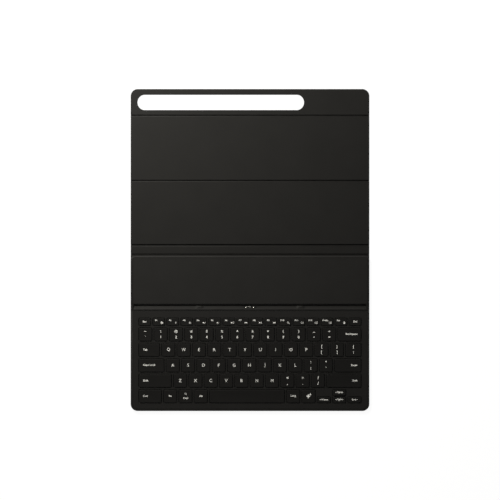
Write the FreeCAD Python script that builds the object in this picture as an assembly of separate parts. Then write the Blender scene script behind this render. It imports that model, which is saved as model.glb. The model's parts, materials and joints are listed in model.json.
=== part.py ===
"""Tablet keyboard case: a slim folio laid open flat, inner faces up.

From front (-Y) to back (+Y): the keyboard deck, a narrow spine, the lower cover panel, the upper
cover panel and an end flap with a long slot for the tablet's cameras and pen. The five are joined by
four soft creases. The deck holds a dock groove with three sprung contact pins and an 80-key keyboard.

Millimetres. Origin: centre of the open case on the surface that it lies on. +X right, +Y to the back
(away from the typist), +Z up.
"""
import FreeCAD, Part
import math
import os

V = FreeCAD.Vector
UP = V(0, 0, 1)

# ---- driving dimensions: the tablet that the case fits, and the margin round it
TABLET_W = 285.4
TABLET_H = 185.4
EDGE_MARGIN = 2.0

HALF_W = TABLET_W / 2 + EDGE_MARGIN
LEAF = TABLET_H + 2 * EDGE_MARGIN
SPINE_W = 11.6
HALF_L = LEAF + SPINE_W / 2

# ---- where the creases are, along Y
DECK_CREASE = -SPINE_W / 2
SPINE_CREASE = SPINE_W / 2
FLAP_LEN = 32.0
LOWER_LEN = 78.4
PANEL_CREASE = SPINE_CREASE + LOWER_LEN
FLAP_CREASE = HALF_L - FLAP_LEN
CREASE_HALF = 1.2
AXIS_Z = 0.7
CREASE_UNDER = 0.1
CREASE_GROOVE_R = 0.3

# ---- cover build-up
SKIN_T = 0.6
BOARD_TOP = 1.4
PANEL_T = 1.9
SPINE_T = 1.3
SKIN_LIP = 0.8
LINING_INSET = 0.3
CORNER_R = 8.5
REAR_CORNER_R = 5.0

# ---- camera and pen slot in the flap
SLOT_LEFT = 7.75
SLOT_LEN = 202.9
SLOT_H = 18.5
SLOT_FROM_BACK = 16.2

# ---- deck build-up
DECK_TOP = 4.6
DECK_EDGE_R = 1.5
DECK_REAR = DECK_CREASE - CREASE_HALF
TRAY_WALL = 0.8
TRAY_TOP = 2.6
SKIN_EDGE_R = 0.5
CORE_INSET = 1.2
PLATE_T = 0.5
PLATE_TOP = SKIN_T + PLATE_T
FRAME_PLATE_T = 1.2
FRAME_WALL = 5.0
SEAM = 0.05

# ---- dock groove, measured from the deck's front edge
GROOVE_REAR = 129.4
GROOVE_WALL_RUN = 0.4
GROOVE_FLOOR = 2.3
GROOVE_FRONT = 123.4
GROOVE_DEPTH = 2.0
GROOVE_LIP = 0.5
CREST_RISE = 0.25
CREST_RUN = 1.3
GROOVE_LEFT_END = 3.5
GROOVE_RIGHT_END = 4.0
GUIDE_X = 61.3
GUIDE_BASE = 11.0
GUIDE_PEAK = 3.0
GUIDE_RISE = 0.9

# ---- contact pins, square to the groove's slope
PIN_PITCH = 4.25
PIN_R = 1.05
PIN_BORE_R = 1.11
PIN_OUT = 0.7
PIN_IN = 1.0
PIN_TRAVEL = 0.6
PIN_DOWN_SLOPE = 126.0
HOUSING_W = 15.0
HOUSING_TOP = 2.1
RIBBON_HALF = 4.5
RIBBON_Z = (PLATE_TOP + 0.1, PLATE_TOP + 0.3)

# ---- keyboard
KEY_UNIT = 18.575
KEY_GAP = 2.475
KEY_FIELD_UNITS = 14.65
CAP_DEPTH = 16.1
FUNCTION_DEPTH = 9.2
HALF_KEY_DEPTH = 7.4
HALF_KEY_SHIFT = 4.35
CAP_TOP = 5.4
CAP_T = 1.4
CAP_CORNER_R = 1.6
CAP_EDGE_R = 0.45
KEY_TRAVEL = 1.0
WINDOW_GAP = 0.3
MEMBRANE_T = 0.3
DOME_FOOT_R = 2.6
DOME_HEAD_R = 1.6
DOME_CLEAR = 0.1
LINK_BAR = 0.6
LINK_T = 0.5

FRONT = -HALF_L
GROOVE_Y = (FRONT + GROOVE_FRONT, FRONT + GROOVE_REAR)
LEDGE_Y = (GROOVE_Y[0] - CREST_RUN - GROOVE_LIP, GROOVE_Y[1] + GROOVE_LIP)
GROOVE_FLOOR_Z = DECK_TOP - GROOVE_DEPTH
CREST_Z = DECK_TOP + CREST_RISE
SLOPE_FOOT_Y = GROOVE_Y[1] - GROOVE_WALL_RUN - GROOVE_FLOOR
SLOPE = math.atan2(CREST_Z - GROOVE_FLOOR_Z, SLOPE_FOOT_Y - GROOVE_Y[0])
SLOPE_NORMAL = V(0, math.sin(SLOPE), math.cos(SLOPE))

# ---- key rows, front to back: distance of the row's centre from the front edge, cap depth, and each
# key's name with its width in key units
ROWS = [
    (17.85, CAP_DEPTH, [
        ("ctrl", 1.62), ("fn", 1), ("cmd", 1), ("alt", 1), ("space", 5.03), ("language", 1),
        ("assistant", 1), ("left", 1), ("up_down", 1), ("right", 1)]),
    (36.5, CAP_DEPTH, [("shift_left", 2.27)] + [(k, 1) for k in "zxcvbnm"]
        + [("comma", 1), ("period", 1), ("slash", 1), ("shift_right", 2.38)]),
    (55.2, CAP_DEPTH, [("caps_lock", 1.79)] + [(k, 1) for k in "asdfghjkl"]
        + [("semicolon", 1), ("quote", 1), ("enter", 1.86)]),
    (74.0, CAP_DEPTH, [("tab", 1.5)] + [(k, 1) for k in "qwertyuiop"]
        + [("bracket_left", 1), ("bracket_right", 1), ("backslash", 1.15)]),
    (92.7, CAP_DEPTH, [(k, 1) for k in "`1234567890-="] + [("backspace", 1.65)]),
    (108.0, FUNCTION_DEPTH, [("function", KEY_FIELD_UNITS / 16)] * 16),
]
PUNCTUATION = ("comma", "period", "slash", "semicolon", "quote", "bracket_left", "bracket_right",
               "backslash")


# ---------------------------------------------------------------- shape helpers
def slab(x0, x1, y0, y1, z0, z1, front_r=0.0, rear_r=0.0):
    """A flat block with its upright corners rounded: front_r at y0, rear_r at y1."""
    corners = [(x0, y0, 1, 1, front_r), (x1, y0, -1, 1, front_r),
               (x1, y1, -1, -1, rear_r), (x0, y1, 1, -1, rear_r)]
    edges = []
    ends = []
    for n, (x, y, sx, sy, r) in enumerate(corners):
        along_x = V(x + sx * r, y, z0)
        along_y = V(x, y + sy * r, z0)
        start, end = (along_y, along_x) if n % 2 == 0 else (along_x, along_y)
        if r > 0:
            bend = r * (1 - math.sqrt(0.5))
            edges.append(Part.Arc(start, V(x + sx * bend, y + sy * bend, z0), end).toShape())
        ends.append((start, end))
    for n in range(4):
        a = ends[n][1]
        b = ends[(n + 1) % 4][0]
        edges.append(Part.makeLine(a, b))
    wire = Part.Wire(Part.__sortEdges__(edges))
    return Part.Face(wire).extrude(V(0, 0, z1 - z0))


def box(x0, x1, y0, y1, z0, z1):
    return Part.makeBox(x1 - x0, y1 - y0, z1 - z0, V(x0, y0, z0))


def prism_x(points, x0, x1):
    """A (y, z) outline carried along X."""
    corners = [V(x0, y, z) for y, z in points]
    face = Part.Face(Part.makePolygon(corners + corners[:1]))
    return face.extrude(V(x1 - x0, 0, 0))


def edges_at(solid, z, keep=None):
    """The edges that lie wholly at height z, or those of them that keep(edge) accepts."""
    flat = [e for e in solid.Edges if all(abs(v.Z - z) < 1e-6 for v in e.Vertexes)]
    return [e for e in flat if keep is None or keep(e)]


def off_line(y):
    """Accepts an edge unless it lies wholly along the line at this y."""
    return lambda e: not all(abs(v.Y - y) < 1e-6 for v in e.Vertexes)


def outer_only(*ys):
    """Accepts an edge unless it lies wholly along one of these lines across the case."""
    tests = [off_line(y) for y in ys]
    return lambda e: all(t(e) for t in tests)


def group(solids):
    return Part.makeCompound(list(solids))


# ---------------------------------------------------------------- cover: panels, spine, flap
def cover_skin(y0, y1, rear_r=0.0):
    """Outer leatherette of one cover part: a sheet with a lip turned up along its free edges."""
    rear_lip = SKIN_LIP if rear_r else 0
    sheet = slab(-HALF_W, HALF_W, y0, y1, 0, BOARD_TOP, 0, rear_r)
    free = outer_only(y0) if rear_r else outer_only(y0, y1)
    sheet = sheet.makeFillet(SKIN_EDGE_R, edges_at(sheet, 0, free))
    inner_r = max(rear_r - SKIN_LIP, 0)
    tray = slab(-HALF_W + SKIN_LIP, HALF_W - SKIN_LIP, y0, y1 - rear_lip, SKIN_T, BOARD_TOP, 0, inner_r)
    return sheet.cut(tray)


def cover_board(y0, y1, rear_r=0.0):
    """Stiff board inside one cover part, within the skin's lips."""
    gap = SKIN_LIP + SEAM
    rear = y1 - gap if rear_r else y1
    inner_r = max(rear_r - gap, 0)
    return slab(-HALF_W + gap, HALF_W - gap, y0, rear, SKIN_T, BOARD_TOP, 0, inner_r)


def cover_lining(y0, y1, rear_r=0.0, z0=BOARD_TOP, z1=PANEL_T):
    """Soft inner lining of one cover part, its upper edges rounded over."""
    inset = LINING_INSET
    rear = y1 - inset if rear_r else y1
    sheet = slab(-HALF_W + inset, HALF_W - inset, y0, rear, z0, z1, 0, max(rear_r - inset, 0))
    return sheet.makeFillet(inset, edges_at(sheet, z1))


def slot_cutter(grow=0.0):
    """Stadium for the cameras and the pen, through the whole flap; grow widens it all round."""
    r = SLOT_H / 2 + grow
    left = -HALF_W + SLOT_LEFT + SLOT_H / 2
    right = left + SLOT_LEN - SLOT_H
    y = HALF_L - SLOT_FROM_BACK
    bar = box(left, right, y - r, y + r, -1, PANEL_T + 1)
    ends = [Part.makeCylinder(r, PANEL_T + 2, V(x, y, -1), UP) for x in (left, right)]
    return bar.fuse(ends).removeSplitter()


def magnet_row(xs, y, length, depth, z0, z1, clear=0.0):
    """Flat bar magnets with their long side along X, one at each x."""
    return [box(x - length / 2 - clear, x + length / 2 + clear, y - depth / 2 - clear,
                y + depth / 2 + clear, z0, z1) for x in xs]


def panel_magnets(clear=0.0):
    """Six bars that hold the upper panel to the tablet's back."""
    y = FLAP_CREASE - 14.0
    return magnet_row((-118, -84, -50, 50, 84, 118), y, 24.0, 7.0, SKIN_T, BOARD_TOP, clear)


def crease_strip(y):
    """Bare skin between two stiff parts, with a fine half-round groove on the fold line."""
    half = CREASE_HALF - SEAM
    x = HALF_W - SKIN_LIP / 2
    strip = box(-x, x, y - half, y + half, CREASE_UNDER, AXIS_Z)
    groove = Part.makeCylinder(CREASE_GROOVE_R, 2 * x, V(-x, y, AXIS_Z), V(1, 0, 0))
    return strip.cut(groove)


def cover_nodes():
    lower = (SPINE_CREASE + CREASE_HALF, PANEL_CREASE - CREASE_HALF)
    upper = (PANEL_CREASE + CREASE_HALF, FLAP_CREASE - CREASE_HALF)
    flap = (FLAP_CREASE + CREASE_HALF, HALF_L)
    spine = (DECK_CREASE + CREASE_HALF, SPINE_CREASE - CREASE_HALF)
    spine_skin = slab(-HALF_W, HALF_W, spine[0], spine[1], 0, SKIN_T)
    upper_board = cover_board(*upper).cut(group(panel_magnets(SEAM)))
    return {
        "spine_skin": spine_skin,
        "spine_lining": cover_lining(*spine, z0=SKIN_T, z1=SPINE_T),
        "lower_panel_skin": cover_skin(*lower),
        "lower_panel_board": cover_board(*lower),
        "lower_panel_lining": cover_lining(*lower),
        "upper_panel_skin": cover_skin(*upper),
        "upper_panel_board": upper_board,
        "upper_panel_lining": cover_lining(*upper),
        "upper_panel_magnets": group(panel_magnets()),
        "flap_skin": cover_skin(*flap, CORNER_R).cut(slot_cutter()),
        "flap_board": cover_board(*flap, CORNER_R).cut(slot_cutter(SKIN_LIP)),
        "flap_lining": cover_lining(*flap, CORNER_R).cut(slot_cutter(LINING_INSET)),
        "deck_crease": crease_strip(DECK_CREASE),
        "spine_crease": crease_strip(SPINE_CREASE),
        "panel_crease": crease_strip(PANEL_CREASE),
        "flap_crease": crease_strip(FLAP_CREASE),
    }


# ---------------------------------------------------------------- deck: tray, frame, dock, internals
def deck_slab(y0, y1, z0, z1, inset=0.0, front=False, rear=False):
    """A slice of the deck's outline; front or rear says that it has that end's rounded corners."""
    return slab(-HALF_W + inset, HALF_W - inset, y0 + (inset if front else 0),
                y1 - (inset if rear else 0), z0, z1,
                max(CORNER_R - inset, 0.5) if front else 0,
                max(REAR_CORNER_R - inset, 0.5) if rear else 0)


def rimmed(y0, y1, front=False, rear=False):
    """A slice of the deck's top casing: rolled outer edge above, narrower core below."""
    top = deck_slab(y0, y1, TRAY_TOP + SEAM, DECK_TOP, 0, front, rear)
    inner_ends = [y for y, outer in ((y0, front), (y1, rear)) if not outer]
    top = top.makeFillet(DECK_EDGE_R, edges_at(top, DECK_TOP, outer_only(*inner_ends)))
    core = deck_slab(y0, y1, PLATE_TOP, TRAY_TOP + 2 * SEAM, CORE_INSET, front, rear)
    return top.fuse(core).removeSplitter()


def deck_skin():
    """Outer leatherette under the deck, turned up round its sides as a shallow tray."""
    tray = deck_slab(FRONT, DECK_REAR, 0, TRAY_TOP, 0, True, True)
    tray = tray.makeFillet(SKIN_EDGE_R, edges_at(tray, 0))
    return tray.cut(deck_slab(FRONT, DECK_REAR, SKIN_T, TRAY_TOP, TRAY_WALL, True, True))


def support_plate():
    """Steel sheet over the whole deck, which stiffens it and carries the keys."""
    return deck_slab(FRONT, DECK_REAR, SKIN_T, PLATE_TOP, CORE_INSET, True, True)


def deck_frame(keys):
    """Top casing of the keyboard: a plate with a window for each key on a hollow rim."""
    rear = LEDGE_Y[0] - SEAM
    frame = rimmed(FRONT, rear, front=True)
    hollow = slab(-HALF_W + CORE_INSET + FRAME_WALL, HALF_W - CORE_INSET - FRAME_WALL,
                  FRONT + CORE_INSET + FRAME_WALL, rear - 1.0, PLATE_TOP,
                  DECK_TOP - FRAME_PLATE_T, 3.0, 1.0)
    windows = [slab(x - w / 2 - WINDOW_GAP, x + w / 2 + WINDOW_GAP, y - d / 2 - WINDOW_GAP,
                    y + d / 2 + WINDOW_GAP, PLATE_TOP + 1, DECK_TOP + 1,
                    CAP_CORNER_R + WINDOW_GAP, CAP_CORNER_R + WINDOW_GAP)
               for _, x, y, w, d in keys]
    notch = box(-RIBBON_HALF - 0.5, RIBBON_HALF + 0.5, rear - 1.5, rear + 1, PLATE_TOP, RIBBON_Z[1] + 0.3)
    return frame.cut(group([hollow, notch] + windows))


def rest_magnets(clear=0.0):
    """Four bars under the rest area, which hold the tablet down when the case is shut."""
    y = (GROOVE_Y[1] + DECK_REAR) / 2
    return magnet_row((-105, -45, 45, 105), y, 26.0, 9.0, PLATE_TOP, TRAY_TOP, clear)


def rest_plate():
    """Plain casing behind the dock, which the tablet's lower part leans over."""
    return rimmed(LEDGE_Y[1] + SEAM, DECK_REAR, rear=True).cut(group(rest_magnets(SEAM)))


def slope_point(from_front, x=0.0):
    """The point of the groove's slope at this distance from the deck's front edge."""
    y = FRONT + from_front
    return V(x, y, CREST_Z - (y - GROOVE_Y[0]) * math.tan(SLOPE))


def guide_bump(x):
    """Low ridge across the groove that centres the tablet, narrower at its top."""
    foot = GROOVE_FLOOR_Z
    middle = slope_point(126.4)
    reach = 1.7
    low = [V(x - GUIDE_BASE / 2, middle.y + reach, foot), V(x + GUIDE_BASE / 2, middle.y + reach, foot),
           V(x + GUIDE_BASE / 2, middle.y - reach, foot), V(x - GUIDE_BASE / 2, middle.y - reach, foot)]
    high = middle.z + GUIDE_RISE
    top = [V(x - GUIDE_PEAK / 2, middle.y + 0.6, high), V(x + GUIDE_PEAK / 2, middle.y + 0.6, high),
           V(x + GUIDE_PEAK / 2, middle.y - 0.8, high), V(x - GUIDE_PEAK / 2, middle.y - 0.8, high)]
    wires = [Part.makePolygon(w + w[:1]) for w in (low, top)]
    return Part.makeLoft(wires, True, True)


def pin_axis_points():
    return [slope_point(PIN_DOWN_SLOPE, n * PIN_PITCH) for n in (-1, 0, 1)]


def dock_ledge():
    """Bar with the groove that the tablet's lower edge stands in, with its two guide bumps."""
    ledge = rimmed(LEDGE_Y[0], LEDGE_Y[1])
    ends = (-HALF_W + GROOVE_LEFT_END, HALF_W - GROOVE_RIGHT_END)
    crest = prism_x([(GROOVE_Y[0] - CREST_RUN, DECK_TOP), (GROOVE_Y[0], CREST_Z),
                     (GROOVE_Y[0] + 0.5, GROOVE_FLOOR_Z), (GROOVE_Y[0] - CREST_RUN, GROOVE_FLOOR_Z)], *ends)
    groove = prism_x([(GROOVE_Y[0], CREST_Z), (SLOPE_FOOT_Y, GROOVE_FLOOR_Z),
                      (GROOVE_Y[1] - GROOVE_WALL_RUN, GROOVE_FLOOR_Z), (GROOVE_Y[1], DECK_TOP),
                      (GROOVE_Y[1], DECK_TOP + 1), (GROOVE_Y[0], DECK_TOP + 1)], *ends)
    ledge = ledge.fuse(crest).cut(groove)
    ledge = ledge.fuse([guide_bump(-GUIDE_X), guide_bump(GUIDE_X)]).removeSplitter()
    half = HOUSING_W / 2 + SEAM
    pocket = box(-half, half, LEDGE_Y[0], LEDGE_Y[1] - 0.8, PLATE_TOP, HOUSING_TOP + SEAM)
    bores = [Part.makeCylinder(PIN_BORE_R, 6, p - SLOPE_NORMAL * 3, SLOPE_NORMAL)
             for p in pin_axis_points()]
    return ledge.cut(group([pocket] + bores))


def pogo_housing():
    """Moulded block under the slope, with a blind hole for the tail of each contact pin."""
    block = box(-HOUSING_W / 2, HOUSING_W / 2, LEDGE_Y[0] + 0.3, LEDGE_Y[1] - 1.0, PLATE_TOP, HOUSING_TOP)
    deepest = PIN_IN + PIN_TRAVEL + 0.05
    holes = [Part.makeCylinder(PIN_BORE_R, 6, p - SLOPE_NORMAL * deepest, SLOPE_NORMAL)
             for p in pin_axis_points()]
    return block.cut(group(holes))


def pogo_pins():
    """Three plated contact pins with rounded tips."""
    pins = []
    for p in pin_axis_points():
        pin = Part.makeCylinder(PIN_R, PIN_IN + PIN_OUT, p - SLOPE_NORMAL * PIN_IN, SLOPE_NORMAL)
        tip = p + SLOPE_NORMAL * PIN_OUT
        rims = [e for e in pin.Edges if (e.BoundBox.Center - tip).Length < 0.05]
        pins.append(pin.makeFillet(0.45, rims))
    return group(pins)


BOARD_Y = (LEDGE_Y[0] - 7.6, LEDGE_Y[0] - 1.2)
BOARD_T = 0.8


def controller_board():
    """Circuit board under the strip behind the keys, with its chips and a socket."""
    top = PLATE_TOP + BOARD_T
    board = slab(-46, 46, BOARD_Y[0], BOARD_Y[1], PLATE_TOP, top, 0.8, 0.8)
    middle = (BOARD_Y[0] + BOARD_Y[1]) / 2
    chips = [box(x - w / 2, x + w / 2, middle - d / 2, middle + d / 2, top, top + h)
             for x, w, d, h in ((-34, 7, 5, 0.8), (-20, 3, 2, 0.5), (-13, 3, 2, 0.5), (12, 5, 5, 0.9),
                                (24, 2, 1.2, 0.5), (30, 2, 1.2, 0.5), (38, 6, 3, 1.0))]
    return board.fuse(chips).removeSplitter()


def flex_cable():
    """Flat ribbon that joins the contact pins' block to the circuit board."""
    return box(-RIBBON_HALF, RIBBON_HALF, BOARD_Y[1], LEDGE_Y[0] + 0.3, *RIBBON_Z)


# ---------------------------------------------------------------- keyboard
def key_places():
    """(name, x, y, width, depth) of each keycap, in the deck's plan."""
    places = []
    for from_front, depth, row in ROWS:
        x = -KEY_FIELD_UNITS * KEY_UNIT / 2
        y = FRONT + from_front
        for name, units in row:
            middle = x + units * KEY_UNIT / 2
            width = units * KEY_UNIT - KEY_GAP
            if name == "up_down":
                places.append(("up", middle, y + HALF_KEY_SHIFT, width, HALF_KEY_DEPTH))
                places.append(("down", middle, y - HALF_KEY_SHIFT, width, HALF_KEY_DEPTH))
            elif name in ("left", "right"):
                places.append((name, middle, y - HALF_KEY_SHIFT, width, HALF_KEY_DEPTH))
            else:
                places.append((name, middle, y, width, depth))
            x += units * KEY_UNIT
    return places


def key_node(name):
    """The node that holds this key: letters and the space bar have their own."""
    if name == "space":
        return "space_bar"
    if name == "function":
        return "function_keys"
    if name in PUNCTUATION:
        return "punctuation_keys"
    if len(name) == 1 and name.isalpha():
        return "key_" + name
    if len(name) == 1:
        return "number_keys"
    return "command_keys"


def keycap(x, y, width, depth):
    """Flat cap with rounded corners and a softly rounded top edge."""
    cap = slab(x - width / 2, x + width / 2, y - depth / 2, y + depth / 2, CAP_TOP - CAP_T, CAP_TOP,
               CAP_CORNER_R, CAP_CORNER_R)
    return cap.makeFillet(CAP_EDGE_R, edges_at(cap, CAP_TOP))


def membrane_sheet(keys):
    """Switch membrane under the whole key field."""
    x = KEY_FIELD_UNITS * KEY_UNIT / 2
    rear = max(y + d / 2 for _, _, y, _, d in keys)
    front = min(y - d / 2 for _, _, y, _, d in keys)
    return slab(-x, x, front - 1, rear + 0.3, PLATE_TOP, PLATE_TOP + MEMBRANE_T, 2, 1)


def rubber_dome(x, y, scale):
    """Hollow rubber cup that pushes a cap back up."""
    foot = PLATE_TOP + MEMBRANE_T
    height = CAP_TOP - CAP_T - DOME_CLEAR - foot
    base = V(x, y, foot)
    cup = Part.makeCone(DOME_FOOT_R * scale, DOME_HEAD_R * scale, height, base, UP)
    inside = Part.makeCone((DOME_FOOT_R - 0.5) * scale, (DOME_HEAD_R - 0.7) * scale, height - 0.7, base, UP)
    return cup.cut(inside)


def scissor_link(x, y, width, length, side):
    """One open frame of a scissor pair, raised at its rear (side 1) or its front (side -1)."""
    foot = PLATE_TOP + MEMBRANE_T
    rise = CAP_TOP - CAP_T - DOME_CLEAR - foot - LINK_T - 0.1
    ring = box(-width / 2, width / 2, -length / 2, length / 2, -LINK_T / 2, LINK_T / 2)
    hole = box(-width / 2 + LINK_BAR, width / 2 - LINK_BAR, -length / 2 + LINK_BAR,
               length / 2 - LINK_BAR, -LINK_T, LINK_T)
    link = ring.cut(hole)
    tilt = math.degrees(math.asin((rise - 0.15) / length))
    link.rotate(V(0, 0, 0), V(1, 0, 0), side * tilt)
    link.translate(V(x, y, foot + 0.05 + (rise + LINK_T) / 2))
    return link


def scissor_pair(x, y, width, length):
    inner = width - 2 * (LINK_BAR + 0.35)
    return [scissor_link(x, y, width, length, 1), scissor_link(x, y, inner, length, -1)]


def key_mechanisms(keys):
    """Domes and scissor links under the caps; wide keys have two scissor pairs."""
    domes = []
    links = []
    for _, x, y, w, d in keys:
        scale = min(1.0, d / 11)
        domes.append(rubber_dome(x, y, scale))
        length = min(10.5, d - 1.4)
        spots = (x - 0.3 * w, x + 0.3 * w) if w > 2 * KEY_UNIT else (x,)
        for spot in spots:
            links.extend(scissor_pair(spot, y, 12.0, length))
    return {"rubber_domes": group(domes), "scissor_links": group(links)}


def key_nodes(keys):
    caps = {}
    for name, x, y, w, d in keys:
        caps.setdefault(key_node(name), []).append(keycap(x, y, w, d))
    return {node: group(solids) for node, solids in caps.items()}


def deck_nodes(keys):
    return {
        "deck_skin": deck_skin(),
        "support_plate": support_plate(),
        "deck_frame": deck_frame(keys),
        "dock_ledge": dock_ledge(),
        "rest_plate": rest_plate(),
        "rest_magnets": group(rest_magnets()),
        "pogo_housing": pogo_housing(),
        "pogo_pins": pogo_pins(),
        "controller_board": controller_board(),
        "flex_cable": flex_cable(),
        "membrane_sheet": membrane_sheet(keys),
    }


def main():
    os.makedirs("parts", exist_ok=True)
    keys = key_places()
    nodes = {**deck_nodes(keys), **key_mechanisms(keys), **key_nodes(keys), **cover_nodes()}
    for name, shape in nodes.items():
        shape.exportStep(f"parts/{name}.step")
        print(name, len(shape.Solids), round(shape.Volume, 1), shape.isValid())
    print(len(nodes), "nodes,", len(keys), "keys")


main()
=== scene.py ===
"""Tablet keyboard case, open flat: its looks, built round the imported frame.

The cover's linings, the creases, the deck's casing, the dock and the keycaps are new meshes in the
places that the frame gives. The other parts keep their shapes and get materials here. Metres, +Z up,
+Y from the keyboard towards the flap.
"""
import json
import math
import bpy
import numpy as np
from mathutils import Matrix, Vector
from mathutils.geometry import tessellate_polygon


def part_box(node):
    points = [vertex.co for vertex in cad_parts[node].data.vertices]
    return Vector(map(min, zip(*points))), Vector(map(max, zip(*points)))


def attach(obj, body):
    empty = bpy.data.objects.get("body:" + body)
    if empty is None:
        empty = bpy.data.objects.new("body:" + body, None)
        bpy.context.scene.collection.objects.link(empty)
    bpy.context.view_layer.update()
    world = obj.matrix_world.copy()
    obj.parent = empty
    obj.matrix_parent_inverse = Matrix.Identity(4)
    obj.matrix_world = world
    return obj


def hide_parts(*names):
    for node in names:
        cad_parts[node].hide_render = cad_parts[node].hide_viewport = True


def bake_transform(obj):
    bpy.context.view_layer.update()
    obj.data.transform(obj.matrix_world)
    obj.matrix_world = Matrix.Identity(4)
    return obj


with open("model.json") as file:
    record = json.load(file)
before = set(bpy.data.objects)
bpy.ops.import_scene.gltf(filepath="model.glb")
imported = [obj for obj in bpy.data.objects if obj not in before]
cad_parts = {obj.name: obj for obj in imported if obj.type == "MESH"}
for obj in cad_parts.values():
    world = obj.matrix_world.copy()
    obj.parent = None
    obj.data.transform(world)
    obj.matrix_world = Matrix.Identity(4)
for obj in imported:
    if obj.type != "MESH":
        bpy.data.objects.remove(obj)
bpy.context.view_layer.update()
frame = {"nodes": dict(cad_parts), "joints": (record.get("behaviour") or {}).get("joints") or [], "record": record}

MM = 0.001

# ---- what the frame says
JOINTS = {j["name"]: j for j in frame["joints"]}
HALF_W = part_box("deck_skin")[1].x
HINGES = ("cover_lift", "cover_close", "cover_fold", "cover_flap")
CREASE_Y = {name: JOINTS[name]["pos_m"][1] for name in HINGES}
AXIS_Z = JOINTS["cover_lift"]["pos_m"][2]
DECK_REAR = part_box("deck_skin")[1].y
DECK_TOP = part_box("deck_frame")[1].z
CASING_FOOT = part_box("deck_skin")[1].z + 0.05 * MM

# ---- sizes of the finer shapes
HAIR = 0.02 * MM
DECK_FRONT_R = 8.5 * MM
DECK_REAR_R = 5.0 * MM
DECK_ROLL = 1.9 * MM
DECK_ROLL_DOWN = 1.5 * MM
SEAM_ROLL = 0.2 * MM
RIM_WIDTH = 2.3 * MM
RIM_LINE = 0.5 * MM
RIM_LINE_DEPTH = 0.3 * MM
RIM_LINE_SHARES = (0.0, 0.3, 0.5, 0.7, 1.0)
WINDOW_GAP = 0.45 * MM
WINDOW_CHAMFER = 0.14 * MM
CAP_CORNER_R = 1.6 * MM
LINING_ROLL_IN = 1.0 * MM
LINING_ROLL_DOWN = 0.4 * MM
LINING_REACH = 0.5 * MM
LINING_FRONT_SHARE = 0.4
LINING_HOLE_SHARE = 0.6
LINING_ROLL_LIMIT = 0.8
FLAP_CORNER_R = 8.2 * MM
SLOT_END_R = 9.55 * MM
CREASE_HALF = 1.15 * MM
CREASE_TUCK = 1.5 * MM
CREASE_UNDERSIDE = 0.06 * MM
CREASE_DIP = 0.28 * MM
CREASE_DIP_REACH = 0.45 * MM
TONGUE_BEVEL = 0.04 * MM
CAP_TAPER = 0.22 * MM
CAP_ROLL = 0.42 * MM
CAP_DISH = 0.13 * MM
CAP_FOOT_BEVEL = 0.12 * MM
PRINT_T = 0.02 * MM
PRINT_SINK = 0.008 * MM
FLAT_STRIP = 0.08 * MM


# ---------------------------------------------------------------- outlines and lofts
def arc(centre, radius, start, end, steps):
    """Points of an arc, in degrees, both ends included."""
    turns = np.radians(np.linspace(start, end, steps + 1))
    return [(centre[0] + radius * math.cos(t), centre[1] + radius * math.sin(t)) for t in turns]


def rounded_rectangle(x0, x1, y0, y1, front_r, rear_r, steps=8):
    """Anticlockwise outline; a radius of 0 leaves a plain corner."""
    corners = [(x0, y0, 1, 1, front_r, 180), (x1, y0, -1, 1, front_r, 270),
               (x1, y1, -1, -1, rear_r, 0), (x0, y1, 1, -1, rear_r, 90)]
    points = []
    for x, y, sx, sy, r, start in corners:
        points += arc((x + sx * r, y + sy * r), r, start, start + 90, steps) if r else [(x, y)]
    return points


def stadium(x0, x1, y, radius, steps=24):
    """Clockwise outline of a slot with round ends."""
    right = arc((x1 - radius, y), radius, 90, -90, steps)
    left = arc((x0 + radius, y), radius, 270, 90, steps)
    return right + left


def inset(points, distances):
    """The outline moved inwards (to the left of its direction) by one distance per side."""
    p = np.array(points, float)
    n = len(p)
    d = np.broadcast_to(np.asarray(distances, float), (n,))
    side = np.roll(p, -1, 0) - p
    side /= np.linalg.norm(side, axis=1)[:, None]
    normal = np.stack([-side[:, 1], side[:, 0]], 1)
    moved = np.empty_like(p)
    for i in range(n):
        a, b = normal[i - 1], normal[i]
        turn = a[0] * b[1] - a[1] * b[0]
        if abs(turn) < 1e-4:
            moved[i] = p[i] + b * d[i]
        else:
            moved[i] = p[i] + np.array([d[i - 1] * b[1] - d[i] * a[1], d[i] * a[0] - d[i - 1] * b[0]]) / turn
    return moved


def roll_levels(inward, down, top, steps=5):
    """(share of the inset, height) pairs of a rounded upper edge, from its foot to the flat top."""
    turns = np.radians(np.linspace(0, 90, steps + 1))
    return [(inward * (1 - math.cos(t)), top - down * (1 - math.sin(t))) for t in turns]


def plate(loops):
    """Closed plate: loops of (outline, levels, weights), the outer one first and the holes clockwise.

    A level is (inset, height), from the plate's underside to its top, and weights scale the inset of
    each side of the outline. The first and last levels of all loops lie in two planes. A narrow flat
    strip round the top keeps the shading of a rolled edge off the flat face.
    """
    verts, faces, rims = [], [], []
    for outline, levels, weights in loops:
        n = len(outline)
        levels = levels + [(levels[-1][0] + FLAT_STRIP, levels[-1][1])]
        w = np.ones(n) if weights is None else np.asarray(weights, float)
        first = len(verts)
        for distance, z in levels:
            verts += [(x, y, z) for x, y in inset(outline, w * distance)]
        for k in range(len(levels) - 1):
            a, b = first + k * n, first + (k + 1) * n
            faces += [(a + i, a + (i + 1) % n, b + (i + 1) % n, b + i) for i in range(n)]
        rims.append((first, first + (len(levels) - 1) * n, n))
    for top in (False, True):
        rings = [range(r[int(top)], r[int(top)] + r[2]) for r in rims]
        index = [i for ring in rings for i in ring]
        flat = [[Vector((verts[i][0], verts[i][1], 0)) for i in ring] for ring in rings]
        for tri in tessellate_polygon(flat):
            a, b, c = (index[t] for t in tri)
            up = ((verts[b][0] - verts[a][0]) * (verts[c][1] - verts[a][1])
                  - (verts[b][1] - verts[a][1]) * (verts[c][0] - verts[a][0])) > 0
            faces.append((a, b, c) if up == top else (a, c, b))
    return verts, faces


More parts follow.
